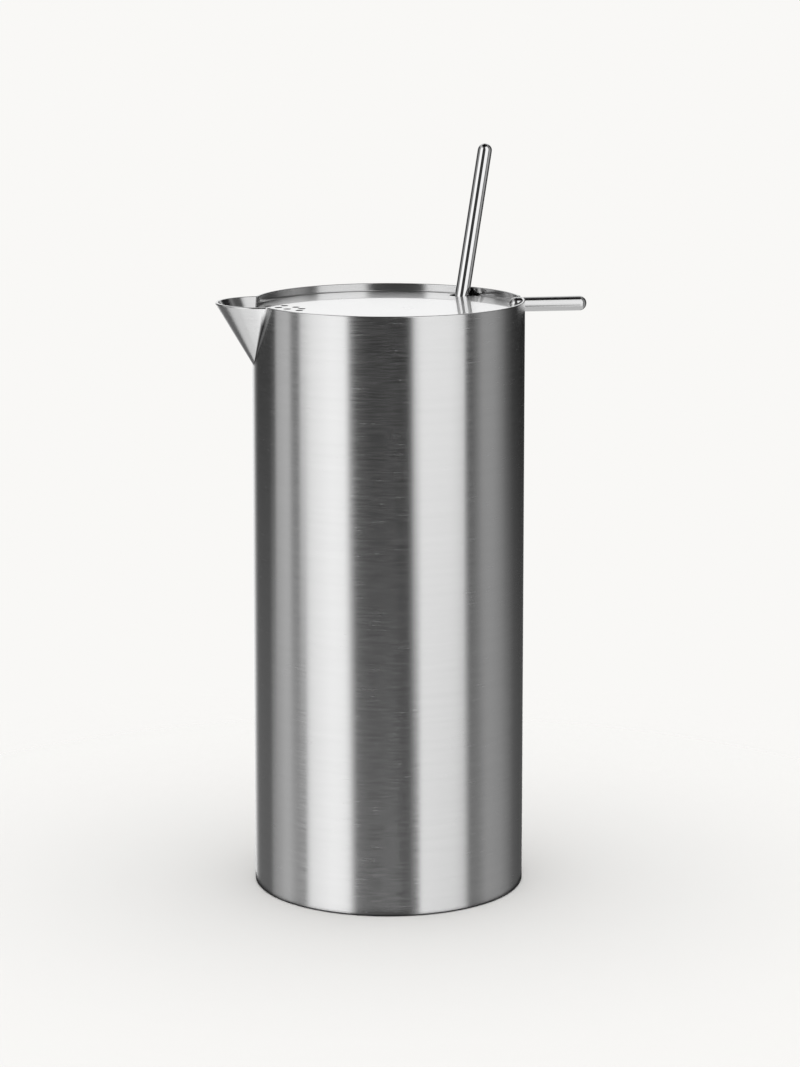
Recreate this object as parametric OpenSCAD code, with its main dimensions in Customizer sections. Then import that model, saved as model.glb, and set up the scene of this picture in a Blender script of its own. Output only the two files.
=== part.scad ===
// Steel cocktail pitcher with a drop-in strainer lid and a long mixing spoon.
// The origin is at the centre of the foot, +Z is up, the spout points to -X
// and the lid's rod handle to +X. All lengths are millimetres, all angles degrees.

/* [Body] */
// Outer diameter of the cylindrical body
body_d = 110; // [95:1:130]
// Height of the body, from its foot to its rim
body_h = 240; // [180:1:300]
// Thickness of the body's steel
wall = 1; // [0.8:0.1:1.6]
// Thickness of the disc that closes the bottom
base_t = 1.5; // [1:0.1:3]
// Radius that breaks the lower outer edge
foot_r = 0.5; // [0.2:0.1:0.7]

/* [Spout] */
// How far the lip of the spout stands out from the body
spout_out = 15.3; // [10:0.1:20]
// Radius of the spout's round mouth, at the rim
mouth_r = 19.4; // [16:0.1:24]
// Angle between the front line of the spout and the vertical
spout_front_a = 31; // [26:1:38]
// Lean of the spout's cone towards its lip
spout_lean_a = 4; // [0:1:8]
// Thickness of the spout's steel
spout_t = 1.2; // [0.8:0.1:1.6]

/* [Lid] */
// Gap all round between the lid and the body
lid_gap = 0.3; // [0.2:0.05:0.5]
// Depth of the lid's flat top below the rim
lid_drop = 3.15; // [2.5:0.05:6]
// Thickness of the lid's steel
lid_t = 1.2; // [0.8:0.1:1.6]
// Outer radius of the lid's turned-down edge
lid_edge_r = 2.4; // [2:0.1:4]
// How far the lid's skirt reaches below the opening of the spout
skirt_cover = 1.5; // [0.5:0.1:6]
// Diameter of a strainer hole
hole_d = 3.2; // [2:0.1:4]
// Distance between neighbouring rows of strainer holes
hole_row = 5.3; // [4.8:0.1:6]

/* [Handle] */
// Diameter of the handle's rod
rod_d = 6; // [4:0.1:6.2]
// Length of the rod, over its round ends
rod_l = 31.9; // [25:0.1:60]
// How far the rod reaches in over the lid, from the body's inner wall
rod_in = 4.4; // [4:0.1:10]
// How far the rod's axis lies below the lid's flat top
rod_sink = 0.05; // [0:0.05:0.5]
// Gap between the rod and its notch in the rim
rod_gap = 0.3; // [0.2:0.05:0.5]

/* [Spoon] */
// Diameter of the spoon's shaft
shaft_d = 6; // [4:0.1:7]
// Length of the whole spoon
spoon_l = 307; // [280:1:340]
// Lean of the resting spoon from the vertical
spoon_lean_a = 14.7; // [12:0.1:16]
// Direction in which the spoon leans, counted from the handle
spoon_turn_a = 43; // [35:1:55]
// Gap between the shaft and the rim that it leans on
rim_gap = 0.2; // [0.1:0.05:0.5]
// Gap between the bowl and the base disc that it stands on
bowl_gap = 0.3; // [0.2:0.05:0.5]
// Gap on each side of the shaft in the lid's slot
slot_gap = 1.5; // [0.5:0.1:3]
// How far the slot's round end lies behind the shaft
slot_back = 0.9; // [0.3:0.1:2]
// Length of the bowl
bowl_l = 42; // [36:1:50]
// Width of the bowl
bowl_w = 28; // [22:1:32]
// Depth of the bowl
bowl_depth = 7; // [5:0.5:9]
// Thickness of the bowl's steel
bowl_t = 1.2; // [0.8:0.1:1.5]
// Length of the neck between the bowl and the shaft
neck_l = 6; // [4:0.5:12]

/* [Hidden] */
$fn = 96;
// Every cut runs this far past what it cuts
overrun = 2;

// Radii of the body
body_r = body_d / 2;
inner_r = body_r - wall;

// The spout is the part of a leaning cone that lies outside the body
spout_reach = body_r + spout_out;
cone_a = spout_front_a - spout_lean_a;
front_slope = tan(cone_a + spout_lean_a);
back_slope = tan(cone_a - spout_lean_a);
cone_drop = 2 * mouth_r / (front_slope + back_slope);
cone_x = spout_reach - front_slope * cone_drop;
cone_l = 2 * cone_drop;
// Lowest point of the opening behind the spout, on the body's inner wall
spout_inner_reach = spout_reach - spout_t / cos(spout_front_a);
opening_z = body_h - (spout_inner_reach - inner_r) / front_slope;

// The lid is a drawn cap, its skirt covers the opening behind the spout
lid_r = inner_r - lid_gap;
lid_z = body_h - lid_drop;
lid_h = lid_z - opening_z + skirt_cover;
// Places of the strainer holes along their rows, as shares of the lid's radius.
// The first row is on the centre line, each other row is there once on each side.
hole_shares = [[0.656, 0.764, 0.873], [0.687, 0.818, 0.935], [0.760, 0.885]];

// The handle's rod lies half sunk in the lid's top
rod_r = rod_d / 2;
rod_z = lid_z - rod_sink;
rod_start = inner_r - rod_in;
rod_notch_r = rod_r + rod_gap;

// The spoon leans on the inner edge of the rim and stands on the base disc
shaft_r = shaft_d / 2;
lean_slope = tan(spoon_lean_a);
rim_lean_r = inner_r - rim_gap - shaft_r / cos(spoon_lean_a);
bowl_z = base_t + bowl_gap + bowl_l / 2 * cos(spoon_lean_a);
bowl_lean_r = rim_lean_r - (body_h - bowl_z) * lean_slope;
shaft_start = bowl_l / 2 + neck_l;
shaft_l = spoon_l - bowl_l / 2 - shaft_start;
// Radii of the bowl's curves, across it and along it, at its deepest place
bowl_cross_r = (pow(bowl_w / 2, 2) + pow(bowl_depth, 2)) / (2 * bowl_depth);
bowl_along_r = (pow(bowl_l / 2, 2) + pow(bowl_depth, 2)) / (2 * bowl_depth);
// The slot in the lid lets the shaft through, and is open to the lid's edge
slot_r = shaft_r + slot_gap;
slot_x = rim_lean_r - (lid_drop + lid_t) * lean_slope - slot_back;

// Sheet cone of the spout, moved in along its axis by the given thickness
module spout_cone(inset) {
    translate([-cone_x, 0, body_h - cone_drop])
        rotate([0, -spout_lean_a, 0])
            translate([0, 0, inset / sin(cone_a)])
                cylinder(h = cone_l, r1 = 0, r2 = cone_l * tan(cone_a));
}

// Half profile of a cap with a flat top and a round edge
module cap_profile(r, h, edge_r) {
    square([r - edge_r, h]);
    square([r, h - edge_r]);
    translate([r - edge_r, h - edge_r]) circle(r = edge_r);
}

// Rod along +X with two hemispherical ends
module round_rod(r, l) {
    translate([r, 0, 0]) sphere(r = r);
    translate([l - r, 0, 0]) sphere(r = r);
    translate([r, 0, 0]) rotate([0, 90, 0]) cylinder(h = l - 2 * r, r = r);
}

// Carries a shape from the spoon's own frame, in which the spoon stands upright
// with the middle of its bowl at the origin, to where the spoon leans
module lean_spoon() {
    rotate([0, 0, spoon_turn_a])
        translate([bowl_lean_r, 0, bowl_z])
            rotate([0, spoon_lean_a, 0])
                children();
}

// Places a round cut at each strainer hole
module strainer_cuts() {
    for (row = [0 : len(hole_shares) - 1], share = hole_shares[row], side = row == 0 ? [1] : [-1, 1])
        translate([-share * lid_r, side * row * hole_row, lid_z - lid_t - overrun])
            cylinder(h = lid_t + 2 * overrun, d = hole_d);
}

// Rolled tube with the opening behind the spout and the notch for the rod
module body_tube() {
    color("silver")
    difference() {
        rotate_extrude() {
            translate([inner_r, 0]) square([wall - foot_r, body_h]);
            translate([inner_r, foot_r]) square([wall, body_h - foot_r]);
            translate([body_r - foot_r, foot_r]) circle(r = foot_r);
        }
        spout_cone(spout_t);
        translate([0, 0, rod_z])
            rotate([0, 90, 0])
                cylinder(h = body_r + overrun, r = rod_notch_r);
        translate([0, -rod_notch_r, rod_z])
            cube([body_r + overrun, 2 * rod_notch_r, lid_drop + rod_sink + overrun]);
    }
}

// Flat disc that is welded into the lower end of the tube
module base_disc() {
    color("gainsboro") cylinder(h = base_t, r = inner_r);
}

// Conical spout, welded to the outside of the tube
module spout() {
    color("lightgray")
    difference() {
        spout_cone(0);
        spout_cone(spout_t);
        cylinder(h = 2 * body_h, r = body_r);
        translate([-2 * spout_reach, -spout_reach, body_h])
            cube([2 * spout_reach, 2 * spout_reach, cone_l]);
    }
}

// Drawn lid with its skirt, strainer holes, slot for the spoon and seat for the rod
module strainer_lid() {
    color("whitesmoke")
    difference() {
        translate([0, 0, lid_z - lid_h])
            rotate_extrude()
                difference() {
                    cap_profile(lid_r, lid_h, lid_edge_r);
                    translate([0, -overrun])
                        cap_profile(lid_r - lid_t, lid_h - lid_t + overrun, lid_edge_r - lid_t);
                }
        strainer_cuts();
        rotate([0, 0, spoon_turn_a])
            translate([slot_x, 0, lid_z - lid_h - overrun]) {
                cylinder(h = lid_h + 2 * overrun, r = slot_r);
                translate([0, -slot_r, 0]) cube([lid_r, 2 * slot_r, lid_h + 2 * overrun]);
            }
        translate([rod_start, 0, rod_z]) round_rod(rod_r, rod_l);
    }
}

// Rod handle, welded into the lid's edge and resting in the notch of the rim
module lid_handle() {
    color("darkgray") translate([rod_start, 0, rod_z]) round_rod(rod_r, rod_l);
}

// Turned form whose outer side the bowl follows, thinner all round by the inset
module bowl_form(inset) {
    translate([bowl_depth - bowl_cross_r, 0, 0])
        rotate([0, 0, 180])
            rotate_extrude()
                intersection() {
                    translate([bowl_cross_r - bowl_along_r, 0]) circle(r = bowl_along_r - inset);
                    translate([0, -bowl_l]) square([bowl_w, 2 * bowl_l]);
                }
}

// Long shaft of the spoon with its hemispherical upper end
module spoon_shaft() {
    color("lightgray")
    lean_spoon()
        translate([0, 0, shaft_start]) {
            cylinder(h = shaft_l - shaft_r, r = shaft_r);
            translate([0, 0, shaft_l - shaft_r]) sphere(r = shaft_r);
        }
}

// Oval bowl of the spoon with its short neck, its hollow side faces up and inwards
module spoon_bowl() {
    color("silver")
    lean_spoon()
        difference() {
            union() {
                intersection() {
                    bowl_form(0);
                    translate([0, -bowl_w, -bowl_l]) cube([bowl_w, 2 * bowl_w, 2 * bowl_l]);
                }
                cylinder(h = shaft_start, r = shaft_r);
            }
            bowl_form(bowl_t);
        }
}

body_tube();
base_disc();
spout();
strainer_lid();
lid_handle();
spoon_shaft();
spoon_bowl();
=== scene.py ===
import math

import bpy
import numpy as np
from mathutils import Euler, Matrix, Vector


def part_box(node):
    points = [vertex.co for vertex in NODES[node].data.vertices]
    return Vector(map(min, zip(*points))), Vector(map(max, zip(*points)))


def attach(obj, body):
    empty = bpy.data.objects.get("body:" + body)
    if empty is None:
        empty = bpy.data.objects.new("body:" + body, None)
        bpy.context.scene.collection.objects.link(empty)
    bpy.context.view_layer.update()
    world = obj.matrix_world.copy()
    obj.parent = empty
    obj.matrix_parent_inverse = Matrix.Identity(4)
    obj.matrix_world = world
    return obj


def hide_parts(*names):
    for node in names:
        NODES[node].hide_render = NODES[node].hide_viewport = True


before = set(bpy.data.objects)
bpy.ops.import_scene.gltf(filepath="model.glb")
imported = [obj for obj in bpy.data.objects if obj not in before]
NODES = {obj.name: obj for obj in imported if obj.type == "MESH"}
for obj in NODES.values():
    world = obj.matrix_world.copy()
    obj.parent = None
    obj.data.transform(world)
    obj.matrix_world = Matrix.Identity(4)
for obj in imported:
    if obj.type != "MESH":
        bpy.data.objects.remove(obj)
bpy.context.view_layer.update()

MM = 0.001


def extent(node, axis):
    """Lowest and highest X, Y or Z of a CAD node, in millimetres to a hundredth."""
    return [round(corner["XYZ".index(axis)] / MM, 2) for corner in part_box(node)]


# Sizes from the frame, in millimetres
BODY_H = extent("body_tube", "Z")[1]
TUBE_R = extent("body_tube", "X")[1]
INNER_R = extent("base_disc", "X")[1]
SPOUT_REACH = -extent("spout", "X")[0]
LID_R = extent("strainer_lid", "X")[1]
LID_TOP_Z = extent("strainer_lid", "Z")[1]
ROD_LOW_Z, ROD_HIGH_Z = extent("lid_handle", "Z")


# Node helpers

def new_material(name):
    """A node material with only an output and a Principled BSDF."""
    mat = bpy.data.materials.new(name)
    mat.use_nodes = True
    tree = mat.node_tree
    tree.nodes.clear()
    out = tree.nodes.new("ShaderNodeOutputMaterial")
    bsdf = tree.nodes.new("ShaderNodeBsdfPrincipled")
    tree.links.new(bsdf.outputs[0], out.inputs[0])
    return mat, tree, bsdf, out


def principled(mat):
    return next(node for node in mat.node_tree.nodes if node.type == "BSDF_PRINCIPLED")


def math_node(tree, operation, *values):
    """Each value is a number or another node's output."""
    node = tree.nodes.new("ShaderNodeMath")
    node.operation = operation
    for socket, value in zip(node.inputs, values):
        if isinstance(value, (int, float)):
            socket.default_value = value
        else:
            tree.links.new(value, socket)
    return node.outputs[0]


def object_coords(tree):
    return tree.nodes.new("ShaderNodeTexCoord").outputs["Object"]


def object_axis(tree, axis):
    """X, Y or Z in object space."""
    split = tree.nodes.new("ShaderNodeSeparateXYZ")
    tree.links.new(object_coords(tree), split.inputs[0])
    return split.outputs[axis]


def vector_length(tree, vector):
    node = tree.nodes.new("ShaderNodeVectorMath")
    node.operation = "LENGTH"
    tree.links.new(vector, node.inputs[0])
    return node.outputs["Value"]


def axis_distance(tree):
    """Distance from the object's vertical axis."""
    flat = tree.nodes.new("ShaderNodeVectorMath")
    flat.operation = "MULTIPLY"
    flat.inputs[1].default_value = (1.0, 1.0, 0.0)
    tree.links.new(object_coords(tree), flat.inputs[0])
    return vector_length(tree, flat.outputs[0])


def scaled_colour(tree, colour, share):
    node = tree.nodes.new("ShaderNodeVectorMath")
    node.operation = "SCALE"
    tree.links.new(colour, node.inputs[0])
    tree.links.new(share, node.inputs["Scale"])
    return node.outputs[0]


def share_between(tree, value, start, end):
    """0 up to start and 1 from end on. start may be the greater of the two."""
    node = tree.nodes.new("ShaderNodeMapRange")
    node.inputs["From Min"].default_value = start
    node.inputs["From Max"].default_value = end
    tree.links.new(value, node.inputs["Value"])
    return node.outputs[0]


def stretched_noise(tree, scales, detail, roughness):
    """Noise in object space whose three directions have their own scale, per metre."""
    mapping = tree.nodes.new("ShaderNodeMapping")
    mapping.inputs["Scale"].default_value = scales
    noise = tree.nodes.new("ShaderNodeTexNoise")
    noise.inputs["Scale"].default_value = 1.0
    noise.inputs["Detail"].default_value = detail
    noise.inputs["Roughness"].default_value = roughness
    tree.links.new(object_coords(tree), mapping.inputs["Vector"])
    tree.links.new(mapping.outputs[0], noise.inputs["Vector"])
    return noise.outputs["Fac"]


def ramp(tree, factor, stops, interpolation="LINEAR"):
    """Colour ramp with (position, grey) stops, in rising order."""
    node = tree.nodes.new("ShaderNodeValToRGB")
    node.color_ramp.interpolation = interpolation
    elements = node.color_ramp.elements
    while len(elements) > 1:
        elements.remove(elements[-1])
    for number, (position, grey) in enumerate(stops):
        element = elements.new(position) if number else elements[0]
        element.position = position
        element.color = (grey, grey, grey, 1.0)
    tree.links.new(factor, node.inputs["Fac"])
    return node.outputs["Color"]


# Materials

# The broad streaks' noise scale as a share of the fine ones', and how much the fine ones count
BROAD_SCALE, FINE_SHARE = 0.18, 0.6
# The noise rarely goes past these values
NOISE_LOW, NOISE_HIGH = 0.3, 0.7


def metal(name, grey, roughness, streaks, bump=0.0, anisotropic=0.0, turned=0.0, spread=0.05,
          uneven=0.5):
    """Steel with streaks.

    streaks is the noise scale in x, y and z, per metre, and bump the streaks' depth in metres.
    spread and uneven are the shares by which the colour and the roughness vary with them.
    """
    mat, tree, bsdf, _ = new_material(name)
    bsdf.inputs["Metallic"].default_value = 1.0
    fine = stretched_noise(tree, streaks, detail=3.0, roughness=0.6)
    broad = stretched_noise(tree, [s * BROAD_SCALE for s in streaks], detail=2.0, roughness=0.5)
    both = math_node(tree, "MULTIPLY_ADD", fine, FINE_SHARE,
                     math_node(tree, "MULTIPLY", broad, 1 - FINE_SHARE))
    colour = ramp(tree, both, [(NOISE_LOW, grey * (1 - spread)), (NOISE_HIGH, grey * (1 + spread))])
    tree.links.new(colour, bsdf.inputs["Base Color"])
    rough = math_node(tree, "MULTIPLY_ADD", fine, roughness * uneven, roughness * (1 - uneven / 2))
    tree.links.new(rough, bsdf.inputs["Roughness"])
    if bump:
        node = tree.nodes.new("ShaderNodeBump")
        node.inputs["Strength"].default_value = 1.0
        node.inputs["Distance"].default_value = bump
        tree.links.new(fine, node.inputs["Height"])
        tree.links.new(node.outputs[0], bsdf.inputs["Normal"])
    if anisotropic:
        bsdf.inputs["Anisotropic"].default_value = anisotropic
        bsdf.inputs["Anisotropic Rotation"].default_value = turned
        # The tangent runs round the vertical axis
        tangent = tree.nodes.new("ShaderNodeTangent")
        tangent.direction_type = "RADIAL"
        tangent.axis = "Z"
        tree.links.new(tangent.outputs[0], bsdf.inputs["Tangent"])
    return mat


def darken(mat, mask_of, depth):
    """Darkens the base colour where the mask is 1, down to 1 - depth of it."""
    tree, bsdf = mat.node_tree, principled(mat)
    colour = bsdf.inputs["Base Color"].links[0].from_socket
    share = math_node(tree, "MULTIPLY_ADD", mask_of(tree), -depth, 1.0)
    tree.links.new(scaled_colour(tree, colour, share), bsdf.inputs["Base Color"])


def weld_and_painted_shade_mask(tree):
    """The weld between tube and spout, a dark joint, and the painted shade beside it, as body_shell
    marks them on the mesh.
    """
    node = tree.nodes.new("ShaderNodeAttribute")
    node.attribute_name = "seam"
    return node.outputs["Fac"]


# Thickness of the CAD's lid and radius of its edge, in millimetres
LID_T, LID_EDGE_R = 1.2, 2.4
# Height of the hole walls, below the lid's top and above its underside, that is left out of the
# painted shade
TOP_MARGIN, UNDER_MARGIN = 0.08, 0.02


def painted_shade_in_lid_holes(tree):
    """1 in the walls of the lid's holes, where shade is painted, 0 on its top, underside and skirt.
    """
    below_top = math_node(tree, "LESS_THAN", object_axis(tree, "Z"), (LID_TOP_Z - TOP_MARGIN) * MM)
    above_underside = math_node(tree, "GREATER_THAN", object_axis(tree, "Z"),
                                (LID_TOP_Z - LID_T + UNDER_MARGIN) * MM)
    inside_edge = math_node(tree, "LESS_THAN", axis_distance(tree), (LID_R - LID_EDGE_R) * MM)
    between = math_node(tree, "MULTIPLY", below_top, above_underside)
    return math_node(tree, "MULTIPLY", between, inside_edge)


# Heights, in millimetres, between which the tube's polished rim gives way to its drawn inside
POLISHED_FROM_Z, DRAWN_FROM_Z = BODY_H - 4.5, BODY_H - 14.0


def drawn_below(mat, rougher, duller):
    """Gives the metal a rougher, duller drawn finish below its polished rim."""
    tree, bsdf = mat.node_tree, principled(mat)
    share = share_between(tree, object_axis(tree, "Z"), POLISHED_FROM_Z * MM, DRAWN_FROM_Z * MM)
    polished_roughness = bsdf.inputs["Roughness"].links[0].from_socket
    rough = math_node(tree, "MULTIPLY_ADD", share, rougher, polished_roughness)
    tree.links.new(rough, bsdf.inputs["Roughness"])
    metallic = math_node(tree, "MULTIPLY_ADD", share, -duller, 1.0)
    tree.links.new(metallic, bsdf.inputs["Metallic"])


def coated(mat, roughness, ior):
    """Adds a sharper reflection on top of the metal's soft one."""
    bsdf = principled(mat)
    bsdf.inputs["Coat Weight"].default_value = 1.0
    bsdf.inputs["Coat Roughness"].default_value = roughness
    bsdf.inputs["Coat IOR"].default_value = ior


brushed = metal("brushed_steel", grey=0.63, roughness=0.22, streaks=(110.0, 110.0, 2400.0),
                bump=8e-7, anisotropic=0.93, turned=0.25, spread=0.03, uneven=1.15)
# Darkens the weld as a dark joint, and the narrow strip beside it as painted shade
darken(brushed, weld_and_painted_shade_mask, depth=0.88)
inside = metal("drawn_steel_inside", grey=0.60, roughness=0.13,
               streaks=(120.0, 120.0, 1800.0), spread=0.02)
drawn_below(inside, rougher=0.26, duller=0.22)
polished = metal("polished_steel", grey=0.76, roughness=0.30, streaks=(55.0, 55.0, 55.0),
                 spread=0.015)
# The walls of the lid's holes get painted shade, nearly black
darken(polished, painted_shade_in_lid_holes, depth=0.93)
coated(polished, roughness=0.03, ior=1.6)
mirror_rod = metal("polished_rod", grey=0.74, roughness=0.04, streaks=(40.0, 40.0, 40.0),
                   spread=0.015)
satin = metal("satin_rod", grey=0.64, roughness=0.13, streaks=(60.0, 2600.0, 2600.0), bump=3e-7)


def dress(node, mat):
    """Gives a CAD node one material."""
    mesh = NODES[node].data
    mesh.materials.clear()
    mesh.materials.append(mat)


dress("base_disc", inside)
dress("strainer_lid", polished)
dress("lid_handle", satin)
dress("spoon_shaft", mirror_rod)
dress("spoon_bowl", mirror_rod)


# Body shell

# The rolled tube and the spout as one welded sheet form. All its lengths are millimetres.

# Roundings of the foot's outer edge and of both edges of the rim
FOOT_R, RIM_R = 0.5, 0.42
# The spout is a leaning cone: its round mouth, its sheet, and the cone's half angle and lean
MOUTH_R, SPOUT_T = 19.4, 1.2
CONE_HALF, CONE_LEAN = math.radians(27.0), math.radians(4.0)
CONE_AXIS = np.array([-math.sin(CONE_LEAN), 0.0, math.cos(CONE_LEAN)])
FRONT_SLOPE, BACK_SLOPE = math.tan(CONE_HALF + CONE_LEAN), math.tan(CONE_HALF - CONE_LEAN)
CONE_DROP = 2 * MOUTH_R / (FRONT_SLOPE + BACK_SLOPE)
OUTER_APEX = np.array([FRONT_SLOPE * CONE_DROP - SPOUT_REACH, 0.0, BODY_H - CONE_DROP])
INNER_APEX = OUTER_APEX + CONE_AXIS * SPOUT_T / math.sin(CONE_HALF)
# Radius of the welded corner between tube and spout at its lower tip, and its gain up to the rim
CREASE_R, WELD_GAIN = 0.45, 1.2
# The weld's dark line and the painted shade beside it fade out between these heights
WELD_AND_SHADE_FADE_Z = (BODY_H - 7.5, BODY_H - 2.5)
# Narrow columns beside the weld that get painted shade: their distance from it, and how dark they
# are painted
PAINTED_SHADE_BESIDE_WELD = [(0.45, 0.90), (1.7, 0.72), (3.1, 0.30), (4.6, 0.0)]
# The notch: its gap round the lid's rod, radius and axis height, and where the rows start to bend
ROD_GAP = 0.3
NOTCH_R, NOTCH_Z = (ROD_HIGH_Z - ROD_LOW_Z) / 2 + ROD_GAP, (ROD_HIGH_Z + ROD_LOW_Z) / 2
NOTCH_START_Z = NOTCH_Z - 4.8
# Columns run from the spout round the +Y side to the notch, back along the -Y side, and then
# over the weld, the spout and the weld
SIDE_COLUMNS, NOTCH_COLUMNS, WELD_COLUMNS, SPOUT_COLUMNS = 60, 16, 6, 56
CIRCLE_COLUMNS = 2 * SIDE_COLUMNS + NOTCH_COLUMNS
COLUMNS = CIRCLE_COLUMNS + 2 * WELD_COLUMNS + SPOUT_COLUMNS
NOTCH = range(SIDE_COLUMNS, SIDE_COLUMNS + NOTCH_COLUMNS)
# Rows run from the foot over the weld's tip to NOTCH_START_Z, and on to the rim's rounding
WELD_ROWS, RIM_STEPS, FOOT_STEPS = 16, 5, 4
UPPER_ROWS = [NOTCH_Z - 2.4, NOTCH_Z, NOTCH_Z + 1.2, NOTCH_Z + 2.3]
BEND_ROW = 1 + WELD_ROWS
FLOOR_ROW = BEND_ROW + 1 + UPPER_ROWS.index(NOTCH_Z)
# Height step for a slope, and least height above the weld's tip at which the spout is open
STEP, OPEN = 0.01, 1e-6
# The welded corner's angle on the ellipse is found by halving the range from 0 to WIDEST
WIDEST, HALVINGS = 0.75 * math.pi, 50
# Finishes of the shell's faces, by their place in its list of materials
OUTSIDE, INSIDE = 0, 1


class Wall:
    """One side of the sheet: a circle that runs over into the spout's cone."""

    def __init__(self, radius, apex, air):
        """air is 1 where the wall has the air outside it, -1 where inside."""
        self.radius, self.apex, self.air = radius, apex, air
        # Height where the cone's front line leaves the circle
        self.tip = apex[2] + (radius + apex[0]) / FRONT_SLOPE

    def ellipse(self, z):
        """The cone's section at one height: x of its middle, half length, half width."""
        h = z - self.apex[2]
        front = self.apex[0] - h * FRONT_SLOPE
        back = self.apex[0] + h * BACK_SLOPE
        middle, half = (front + back) / 2, (back - front) / 2
        offset = middle - self.apex[0]
        along = offset * CONE_AXIS[0] + h * CONE_AXIS[2]
        width = math.sqrt((along / math.cos(CONE_HALF)) ** 2 - offset ** 2 - h ** 2)
        return middle, half, width

    def corner(self, z):
        """The welded corner: its centre and radius, and the ellipse's angle and point where it
        meets the cone."""
        middle, half, width = self.ellipse(z)
        share = max(0.0, (z - self.tip) / (BODY_H - self.tip))
        r = CREASE_R + WELD_GAIN * share ** 4
        low, high = 0.0, WIDEST
        for _ in range(HALVINGS):
            angle = (low + high) / 2
            edge = np.array([middle - half * math.cos(angle), width * math.sin(angle)])
            out = np.array([-math.cos(angle) / half, math.sin(angle) / width])
            centre = edge + r * out / np.linalg.norm(out)
            if np.linalg.norm(centre) > self.radius + r:
                low = angle
            else:
                high = angle
        return centre, r, angle, edge

    def circle_angles(self, start):
        """Angles of the circle's columns, counted from -X, between start and its mirror image."""
        side = [start] + [start + distance / self.radius for distance, _ in PAINTED_SHADE_BESIDE_WELD]
        rest = SIDE_COLUMNS - len(PAINTED_SHADE_BESIDE_WELD)
        span = math.pi - math.asin(NOTCH_R / self.radius) - side[-1]
        side += [side[-1] + span * i / rest for i in range(1, rest + 1)]
        across = [NOTCH_R * math.cos(math.pi * i / NOTCH_COLUMNS) for i in range(1, NOTCH_COLUMNS)]
        notch = [math.pi - math.asin(y / self.radius) for y in across]
        return side + notch + [2 * math.pi - t for t in reversed(side)]

    def fill_spout(self, z, points, normals):
        """Fills in the columns of the weld and the spout. Returns the angle at which the weld
        leaves the circle."""
        centre, r, angle, edge = self.corner(z)
        above, r_above = self.corner(z + STEP)[:2]
        drift, growth = (above - centre) / STEP, (r_above - r) / STEP
        toe = centre * self.radius / np.linalg.norm(centre)
        first, last = [math.atan2(p[1] - centre[1], p[0] - centre[0]) for p in (toe, edge)]
        for i in range(1, WELD_COLUMNS + 1):
            turn = first + (last - first) * i / WELD_COLUMNS
            u = np.array([math.cos(turn), math.sin(turn)])
            x, y = centre + r * u
            for side, k in ((1, COLUMNS - i), (-1, CIRCLE_COLUMNS + i)):
                points[k] = (x, side * y, z)
                normals[k] = (-u[0], -side * u[1], drift @ u + growth)
        middle, half, width = self.ellipse(z)
        for i in range(SPOUT_COLUMNS + 1):
            turn = angle * (2 * i / SPOUT_COLUMNS - 1)
            p = np.array([middle - half * math.cos(turn), width * math.sin(turn), z])
            away = (p - self.apex) / np.linalg.norm(p - self.apex)
            k = CIRCLE_COLUMNS + WELD_COLUMNS + i
            points[k], normals[k] = p, math.cos(CONE_HALF) * away - CONE_AXIS
        return math.atan2(toe[1], -toe[0])

    def section(self, z):
        """Points of all columns at one height, and their normals towards the air."""
        points, normals = np.zeros((COLUMNS, 3)), np.zeros((COLUMNS, 3))
        is_open = z > self.tip + OPEN
        start = self.fill_spout(z, points, normals) if is_open else 0.0
        for k, t in enumerate(self.circle_angles(start)):
            normals[k] = (-math.cos(t), math.sin(t), 0.0)
            points[k] = normals[k] * self.radius
        if not is_open:
            # All columns of the spout meet in its tip
            front = CONE_HALF + CONE_LEAN
            points[CIRCLE_COLUMNS + 1:] = points[0]
            normals[CIRCLE_COLUMNS + 1:] = (-math.cos(front), 0.0, -math.sin(front))
        points[:, 2] = z
        return points, self.air * normals / np.linalg.norm(normals, axis=1)[:, None]


def levelled(vectors):
    """The vectors laid flat, at length 1."""
    flat = vectors * (1.0, 1.0, 0.0)
    return flat / np.linalg.norm(flat, axis=1)[:, None]


def wall_rows(wall, lowest):
    """A wall's rows of (points, normals) from its lowest one up, over the rim's rounding."""
    weld = [wall.tip + (NOTCH_START_Z - wall.tip) * (i / WELD_ROWS) ** 2
            for i in range(WELD_ROWS + 1)]
    heights = [lowest] + weld + UPPER_ROWS
    rows = [wall.section(z) for z in heights]
    # Below the notch, the rows bend step by step to the form of its floor
    for row in range(BEND_ROW, FLOOR_ROW + 1):
        share = (heights[row] - NOTCH_START_Z) / (NOTCH_Z - NOTCH_START_Z)
        points = rows[row][0]
        for k in (*NOTCH, NOTCH.stop):
            floor = NOTCH_Z - math.sqrt(max(0.0, NOTCH_R ** 2 - points[k][1] ** 2))
            points[k][2] = NOTCH_START_Z + (floor - NOTCH_START_Z) * share
    # The rounding starts where it is tangent to the wall, which leans at the spout
    side = rows[-1][0]
    top, top_normals = wall.section(BODY_H)
    slope = (top - side) / (BODY_H - heights[-1])
    flat = levelled(top_normals)
    lean = np.arcsin(np.clip(top_normals[:, 2], -1, 1))
    touch_z = BODY_H - RIM_R + RIM_R * np.sin(lean)
    touch = side + slope * (touch_z - heights[-1])[:, None]
    middle = touch - flat * (RIM_R * np.cos(lean))[:, None]
    middle[:, 2] = BODY_H - RIM_R
    for i in range(RIM_STEPS + 1):
        rise = lean + (math.pi / 2 - lean) * i / RIM_STEPS
        normals = flat * np.cos(rise)[:, None]
        normals[:, 2] = np.sin(rise)
        rows.append((middle + RIM_R * normals, normals))
    return rows


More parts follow.
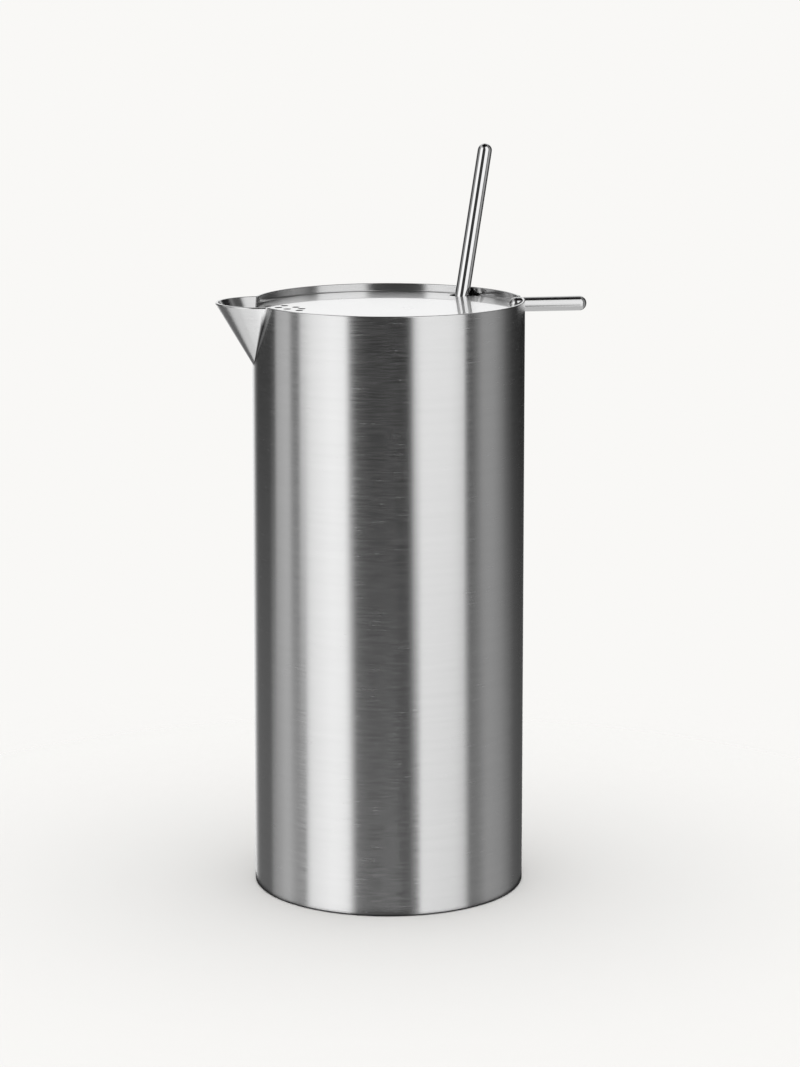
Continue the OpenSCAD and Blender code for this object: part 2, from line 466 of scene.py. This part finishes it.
def foot_rows(wall):
    """Rows of the foot's rounded outer edge, from below upwards."""
    rows = []
    for i in range(FOOT_STEPS + 1):
        turn = math.pi / 2 * (1 - i / FOOT_STEPS)
        points = wall.section(FOOT_R)[0]
        points[:, :2] *= (TUBE_R - FOOT_R + FOOT_R * math.cos(turn)) / TUBE_R
        points[:, 2] = FOOT_R - FOOT_R * math.sin(turn)
        normals = levelled(points) * math.cos(turn)
        normals[:, 2] = -math.sin(turn)
        rows.append((points, normals))
    return rows


class ShellMesh:
    """Collects faces, with a normal at each corner and a finish, OUTSIDE or INSIDE."""

    def __init__(self):
        self.verts, self.numbers, self.seam = [], {}, []
        self.faces, self.normals, self.finishes = [], [], []

    def vertex(self, p):
        """Number of the vertex at this place."""
        key = tuple(round(c, 5) for c in p)
        if key not in self.numbers:
            self.numbers[key] = len(self.verts)
            self.verts.append([c * MM for c in p])
            self.seam.append(0.0)
        return self.numbers[key]

    def face(self, corners, finish):
        """corners are (point, normal) pairs, anticlockwise as seen from the air."""
        kept = []
        for p, n in corners:
            v = self.vertex(p)
            if not kept or v not in (kept[-1][0], kept[0][0]):
                kept.append((v, n))
        if len(kept) > 2:
            self.faces.append([v for v, _ in kept])
            self.normals.extend(n for _, n in kept)
            self.finishes.append(finish)

    def strip(self, low, high, finish, skip=()):
        """Joins two rows all round, apart from the columns to skip."""
        for k in range(COLUMNS):
            if k not in skip:
                j = (k + 1) % COLUMNS
                places = ((low, k), (high, k), (high, j), (low, j))
                corners = [(row[0][i], row[1][i]) for row, i in places]
                self.face(corners[::-1] if finish == INSIDE else corners, finish)


def add_notch(mesh, outer, inner):
    """The notch's round floor, and its two straight sides with the sheet's section."""
    for k in NOTCH:
        corners = []
        for rows, j in ((outer, k), (inner, k), (inner, k + 1), (outer, k + 1)):
            p = rows[FLOOR_ROW][0][j]
            corners.append((p, np.array([0.0, -p[1], NOTCH_Z - p[2]]) / NOTCH_R))
        mesh.face(corners, OUTSIDE)
    for k, way in ((NOTCH.start, -1.0), (NOTCH.stop, 1.0)):
        n = np.array([0.0, way, 0.0])
        for row in range(FLOOR_ROW, len(outer) - 1):
            places = ((outer, row), (outer, row + 1), (inner, row + 1), (inner, row))
            corners = [(rows[i][0][k], n) for rows, i in places]
            mesh.face(corners if way < 0 else corners[::-1], OUTSIDE)


def mark_weld_and_painted_shade(mesh, outer):
    """Marks the weld, a dark joint, and the painted shade on the narrow columns beside it, for the
    mask that darkens the base colour.
    """
    depths = {k % COLUMNS: 1.0 for first in (CIRCLE_COLUMNS, COLUMNS - WELD_COLUMNS)
              for k in range(first, first + WELD_COLUMNS + 1)}
    for j, (_, depth) in enumerate(PAINTED_SHADE_BESIDE_WELD, 1):
        depths[j] = depths[CIRCLE_COLUMNS - j] = depth
    low, high = WELD_AND_SHADE_FADE_Z
    # The first two rows lie below the weld
    for points, _ in outer[2:]:
        for k, depth in depths.items():
            fade = (high - points[k][2]) / (high - low)
            mesh.seam[mesh.vertex(points[k])] = depth * min(1.0, max(0.0, fade))


def body_shell():
    outer_wall, inner_wall = Wall(TUBE_R, OUTER_APEX, 1.0), Wall(INNER_R, INNER_APEX, -1.0)
    outer, inner = wall_rows(outer_wall, FOOT_R), wall_rows(inner_wall, 0.0)
    foot = foot_rows(outer_wall)
    mesh = ShellMesh()
    for rows, finish in ((outer, OUTSIDE), (inner, INSIDE)):
        for i in range(len(rows) - 1):
            mesh.strip(rows[i], rows[i + 1], finish, NOTCH if i >= FLOOR_ROW else ())
    for i in range(FOOT_STEPS):
        mesh.strip(foot[i], foot[i + 1], OUTSIDE)
    down, up = np.tile((0.0, 0.0, -1.0), (COLUMNS, 1)), np.tile((0.0, 0.0, 1.0), (COLUMNS, 1))
    mesh.strip((inner[0][0], down), (foot[0][0], down), OUTSIDE)
    mesh.strip((outer[-1][0], up), (inner[-1][0], up), OUTSIDE, NOTCH)
    add_notch(mesh, outer, inner)
    mark_weld_and_painted_shade(mesh, outer)
    return mesh


def link(obj):
    bpy.context.scene.collection.objects.link(obj)
    return obj


def shell_object(name, mats):
    built = body_shell()
    mesh = bpy.data.meshes.new(name)
    mesh.from_pydata(built.verts, [], built.faces)
    for mat in mats:
        mesh.materials.append(mat)
    mesh.polygons.foreach_set("use_smooth", [True] * len(built.faces))
    mesh.polygons.foreach_set("material_index", built.finishes)
    mesh.attributes.new("seam", "FLOAT", "POINT").data.foreach_set("value", built.seam)
    mesh.update()
    mesh.normals_split_custom_set([tuple(n / np.linalg.norm(n)) for n in built.normals])
    return link(bpy.data.objects.new(name, mesh))


shell = shell_object("pitcher_shell", [brushed, inside])
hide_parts("body_tube", "spout")
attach(shell, "pitcher")


# Studio

# A ring of softboxes and dark flags with a ceiling and a ground, which the metals mirror and the
# camera doesn't see. Lengths are metres, and angles are degrees from the camera's side to +X.
STUDIO_R, STUDIO_LOW, STUDIO_HIGH = 1.3, -0.9, 1.5
# Where the camera's side lies, from -Y
CAMERA_TURN = -9.20
# (angle, brightness) round the ring, from its lowest panels to its highest, and on the ceiling.
# The last stop of each closes the circle.
LOW_PANELS = [
    (-180, 1.00), (-162, 1.00), (-156, 0.50), (-147, 0.17), (-118, 0.17), (-115, 0.44),
    (-107, 0.43), (-98, 0.57), (-91, 0.57), (-84, 0.43), (-78, 0.28), (-74, 0.26), (-70.5, 1.12),
    (-48, 1.36), (-33, 1.30), (-27, 0.24), (-15, 0.15), (20, 0.10), (24, 0.12), (27.5, 1.12),
    (58, 0.98), (68, 0.80), (72, 0.26), (82, 0.24), (92, 0.40), (110, 0.38), (122, 0.28),
    (133, 0.15), (148, 0.10), (166, 0.10), (174, 1.00), (180, 1.00),
]
UPPER_PANELS = [
    (-180, 1.00), (-160, 1.00), (-150, 0.20), (-143, 0.05), (-109.5, 0.05), (-106.5, 0.60),
    (-91, 0.70), (-86, 0.20), (-80, 0.20), (-76.5, 1.05), (-48, 1.36), (-36, 1.32), (-31, 0.05),
    (-15, 0.01), (15, 0.01), (18, 0.10), (22, 1.20), (52, 1.20), (64.5, 1.00), (67, 0.03),
    (73, 0.10), (84, 0.44), (97, 0.40), (108, 0.24), (116, 0.10), (126, 0.04), (148, 0.02),
    (168, 0.02), (176, 1.00), (180, 1.00),
]
MIDDLE_PANELS = [
    (-180, 1.00), (-158, 1.00), (-145, 0.08), (-110, 0.08), (-102, 0.35), (-90, 0.35),
    (-80, 0.25), (-74, 1.25), (-35, 1.34), (-31, 0.05), (15, 0.05), (19, 1.25), (66, 1.20),
    (72, 0.04), (78, 0.30), (108, 0.30), (118, 0.03), (145, 0.02), (158, 1.00), (180, 1.00),
]
HIGH_PANELS = [
    (-180, 0.85), (-158, 0.80), (-145, 0.50), (-100, 0.45), (-78, 0.50), (-74, 1.25),
    (-35, 1.30), (-31, 0.05), (14, 0.05), (17, 1.20), (66, 1.15), (76, 0.12), (140, 0.10),
    (158, 0.80), (180, 0.85),
]
CEILING_PANELS = [
    (-180, 0.04), (-178, 0.04), (-174, 0.55), (-45, 0.55), (-33, 0.05), (14, 0.05), (17, 1.20),
    (60, 1.10), (70, 0.25), (150, 0.25), (168, 0.40), (172, 0.04), (180, 0.04),
]
# (share of the way from -X to +X, brightness): bright under the spout, greyer under the handle
GROUND_PANELS = [(0.0, 0.90), (0.36, 1.10), (0.44, 1.70), (0.50, 1.70), (0.53, 0.70), (1.0, 0.70)]
BRIGHTEST = 1.70
# Heights between which one set of the ring's panels gives way to the next
UPPER_RISE, MIDDLE_RISE, HIGH_RISE = (-0.28, 0.04), (0.40, 0.48), (1.08, 1.18)
# Distances from the ceiling's dark middle between which its panels grow to full
CEILING_RISE = (0.64, 0.76)
# Dark disc under the foot, a painted contact shadow, which the foot's rounded edge mirrors as a
# dark line
FOOT_SHADOW_R, FOOT_SHADOW_Z, FOOT_SHADOW_GREY = (TUBE_R + 2.5) * MM, -0.0003, 0.02
# The floor, and the shares of its radius between which it fades out
FLOOR_R, FLOOR_Z, FLOOR_FADE = 0.36, -0.0002, (0.32, 0.95)
FLOOR_COLOUR = (0.93, 0.922, 0.905, 1.0)


def azimuth_share(tree):
    """Direction round the vertical axis as 0 to 1: 0.5 towards -Y, growing towards +X."""
    towards_front = math_node(tree, "MULTIPLY", object_axis(tree, "Y"), -1.0)
    turn = math_node(tree, "ARCTAN2", object_axis(tree, "X"), towards_front)
    return math_node(tree, "MULTIPLY_ADD", turn, 1 / (2 * math.pi), 0.5)


def panel_stops(panels):
    """The ramp's stops for panels given by their angle from the camera's side."""
    return sorted((((a + CAMERA_TURN + 180) % 360) / 360, v / BRIGHTEST) for a, v in panels[:-1])


def mix_colours(tree, factor, a, b):
    node = tree.nodes.new("ShaderNodeMix")
    node.data_type = "RGBA"
    # Inputs 6 and 7 and output 2 are the node's colours
    for number, value in ((0, factor), (6, a), (7, b)):
        tree.links.new(value, node.inputs[number])
    return node.outputs[2]


def ring_colours(tree):
    azimuth = azimuth_share(tree)
    colours = ramp(tree, azimuth, panel_stops(LOW_PANELS))
    for panels, rise in ((UPPER_PANELS, UPPER_RISE), (MIDDLE_PANELS, MIDDLE_RISE),
                         (HIGH_PANELS, HIGH_RISE)):
        share = share_between(tree, object_axis(tree, "Z"), *rise)
        colours = mix_colours(tree, share, colours, ramp(tree, azimuth, panel_stops(panels)))
    return colours


def ceiling_colours(tree):
    panels = ramp(tree, azimuth_share(tree), panel_stops(CEILING_PANELS))
    return scaled_colour(tree, panels, share_between(tree, axis_distance(tree), *CEILING_RISE))


def ground_colours(tree):
    along = math_node(tree, "MULTIPLY_ADD", object_axis(tree, "X"), 1 / (2 * STUDIO_R), 0.5)
    return ramp(tree, along, [(share, v / BRIGHTEST) for share, v in GROUND_PANELS])


def glow(name, colour, strength):
    """Emission material. colour is a grey, or a function that adds colour nodes to a tree."""
    mat, tree, bsdf, out = new_material(name)
    tree.nodes.remove(bsdf)
    emit = tree.nodes.new("ShaderNodeEmission")
    emit.inputs["Strength"].default_value = strength
    if callable(colour):
        tree.links.new(colour(tree), emit.inputs["Color"])
    else:
        emit.inputs["Color"].default_value = (colour, colour, colour, 1.0)
    tree.links.new(emit.outputs[0], out.inputs[0])
    return mat


def mesh_object(name, verts, faces, mat):
    mesh = bpy.data.meshes.new(name)
    mesh.from_pydata(verts, [], faces)
    mesh.update()
    mesh.materials.append(mat)
    return link(bpy.data.objects.new(name, mesh))


def circle(radius, z, segments):
    turns = [2 * math.pi * i / segments for i in range(segments)]
    return [(radius * math.cos(t), radius * math.sin(t), z) for t in turns]


def ring(name, radius, low, high, mat, segments=180):
    verts = circle(radius, low, segments) + circle(radius, high, segments)
    pairs = [(i, (i + 1) % segments) for i in range(segments)]
    return mesh_object(name, verts, [(i, j, segments + j, segments + i) for i, j in pairs], mat)


def disc(name, radius, z, mat, segments=96):
    verts = [(0.0, 0.0, 0.0)] + circle(radius, 0.0, segments)
    faces = [(0, 1 + i, 1 + (i + 1) % segments) for i in range(segments)]
    obj = mesh_object(name, verts, faces, mat)
    obj.location.z = z
    return obj


def floor_disc():
    """Small pale floor that fades into the white surroundings."""
    mat, tree, bsdf, out = new_material("pale_floor")
    bsdf.inputs["Base Color"].default_value = FLOOR_COLOUR
    bsdf.inputs["Roughness"].default_value = 0.9
    bsdf.inputs["Specular IOR Level"].default_value = 0.0
    share = math_node(tree, "DIVIDE", vector_length(tree, object_coords(tree)), FLOOR_R)
    clear = tree.nodes.new("ShaderNodeBsdfTransparent")
    mix = tree.nodes.new("ShaderNodeMixShader")
    tree.links.new(ramp(tree, share, list(zip(FLOOR_FADE, (0.0, 1.0))), "EASE"), mix.inputs[0])
    tree.links.new(bsdf.outputs[0], mix.inputs[1])
    tree.links.new(clear.outputs[0], mix.inputs[2])
    tree.links.new(mix.outputs[0], out.inputs[0])
    obj = disc("floor", FLOOR_R, FLOOR_Z, mat)
    obj.visible_glossy = False
    return obj


studio = ring("studio_panels", STUDIO_R, STUDIO_LOW, STUDIO_HIGH,
              glow("studio_panels", ring_colours, BRIGHTEST))
ceiling = disc("studio_ceiling", STUDIO_R, STUDIO_HIGH,
               glow("studio_ceiling", ceiling_colours, BRIGHTEST))
ground = disc("studio_ground", STUDIO_R, STUDIO_LOW,
              glow("studio_ground", ground_colours, BRIGHTEST))
# Painted contact shadow under the foot, which only the metals' reflections see
painted_foot_shadow = disc("painted_foot_shadow", FOOT_SHADOW_R, FOOT_SHADOW_Z, glow("painted_foot_shadow", FOOT_SHADOW_GREY, 1.0))
for panel in (studio, ceiling, ground, painted_foot_shadow):
    panel.visible_camera = panel.visible_shadow = panel.visible_diffuse = False
floor_disc()


# World

# What the camera and the glossy and transmitted rays see, and the strength of the soft light
# that only diffuse rays see
SEEN_COLOUR = (0.947, 0.939, 0.922, 1.0)
SOFT_STRENGTH = 2.04

world = bpy.data.worlds.new("studio")
bpy.context.scene.world = world
world.use_nodes = True
tree = world.node_tree
tree.nodes.clear()
seen = tree.nodes.new("ShaderNodeBackground")
seen.inputs["Color"].default_value = SEEN_COLOUR
seen.inputs["Strength"].default_value = 1.0
soft = tree.nodes.new("ShaderNodeBackground")
soft.inputs["Strength"].default_value = SOFT_STRENGTH
# The soft light comes from above and below, and not from the sides
split = tree.nodes.new("ShaderNodeSeparateXYZ")
tree.links.new(tree.nodes.new("ShaderNodeTexCoord").outputs["Generated"], split.inputs[0])
squared = math_node(tree, "MULTIPLY", split.outputs["Z"], split.outputs["Z"])
tree.links.new(squared, soft.inputs["Color"])
path = tree.nodes.new("ShaderNodeLightPath").outputs
mirrored = math_node(tree, "MAXIMUM", path["Is Glossy Ray"], path["Is Transmission Ray"])
sees = math_node(tree, "MAXIMUM", path["Is Camera Ray"], mirrored)
mix = tree.nodes.new("ShaderNodeMixShader")
tree.links.new(sees, mix.inputs[0])
tree.links.new(soft.outputs[0], mix.inputs[1])
tree.links.new(seen.outputs[0], mix.inputs[2])
world_out = tree.nodes.new("ShaderNodeOutputWorld")
tree.links.new(mix.outputs[0], world_out.inputs["Surface"])


# Camera

# Place in millimetres, angles in degrees, from a fit to the photo
CAMERA_AT = (-208.47, -1287.0, 402.36)
CAMERA_DOWN, CAMERA_YAW = 8.778, -9.406
# Focal length and sensor width in millimetres, and the lens shift as a share of the longer side
CAMERA_LENS, CAMERA_SENSOR, CAMERA_SHIFT = 110.08, 36.0, -0.13

camera_data = bpy.data.cameras.new("camera")
camera_data.sensor_width = CAMERA_SENSOR
camera_data.lens = CAMERA_LENS
camera_data.shift_y = CAMERA_SHIFT
camera_data.clip_start, camera_data.clip_end = 0.05, 20.0
camera = link(bpy.data.objects.new("camera", camera_data))
camera.location = Vector(CAMERA_AT) * MM
camera.rotation_euler = Euler((math.radians(90 - CAMERA_DOWN), 0.0, math.radians(CAMERA_YAW)))
bpy.context.scene.camera = camera
bpy.context.scene.view_settings.view_transform = "Standard"
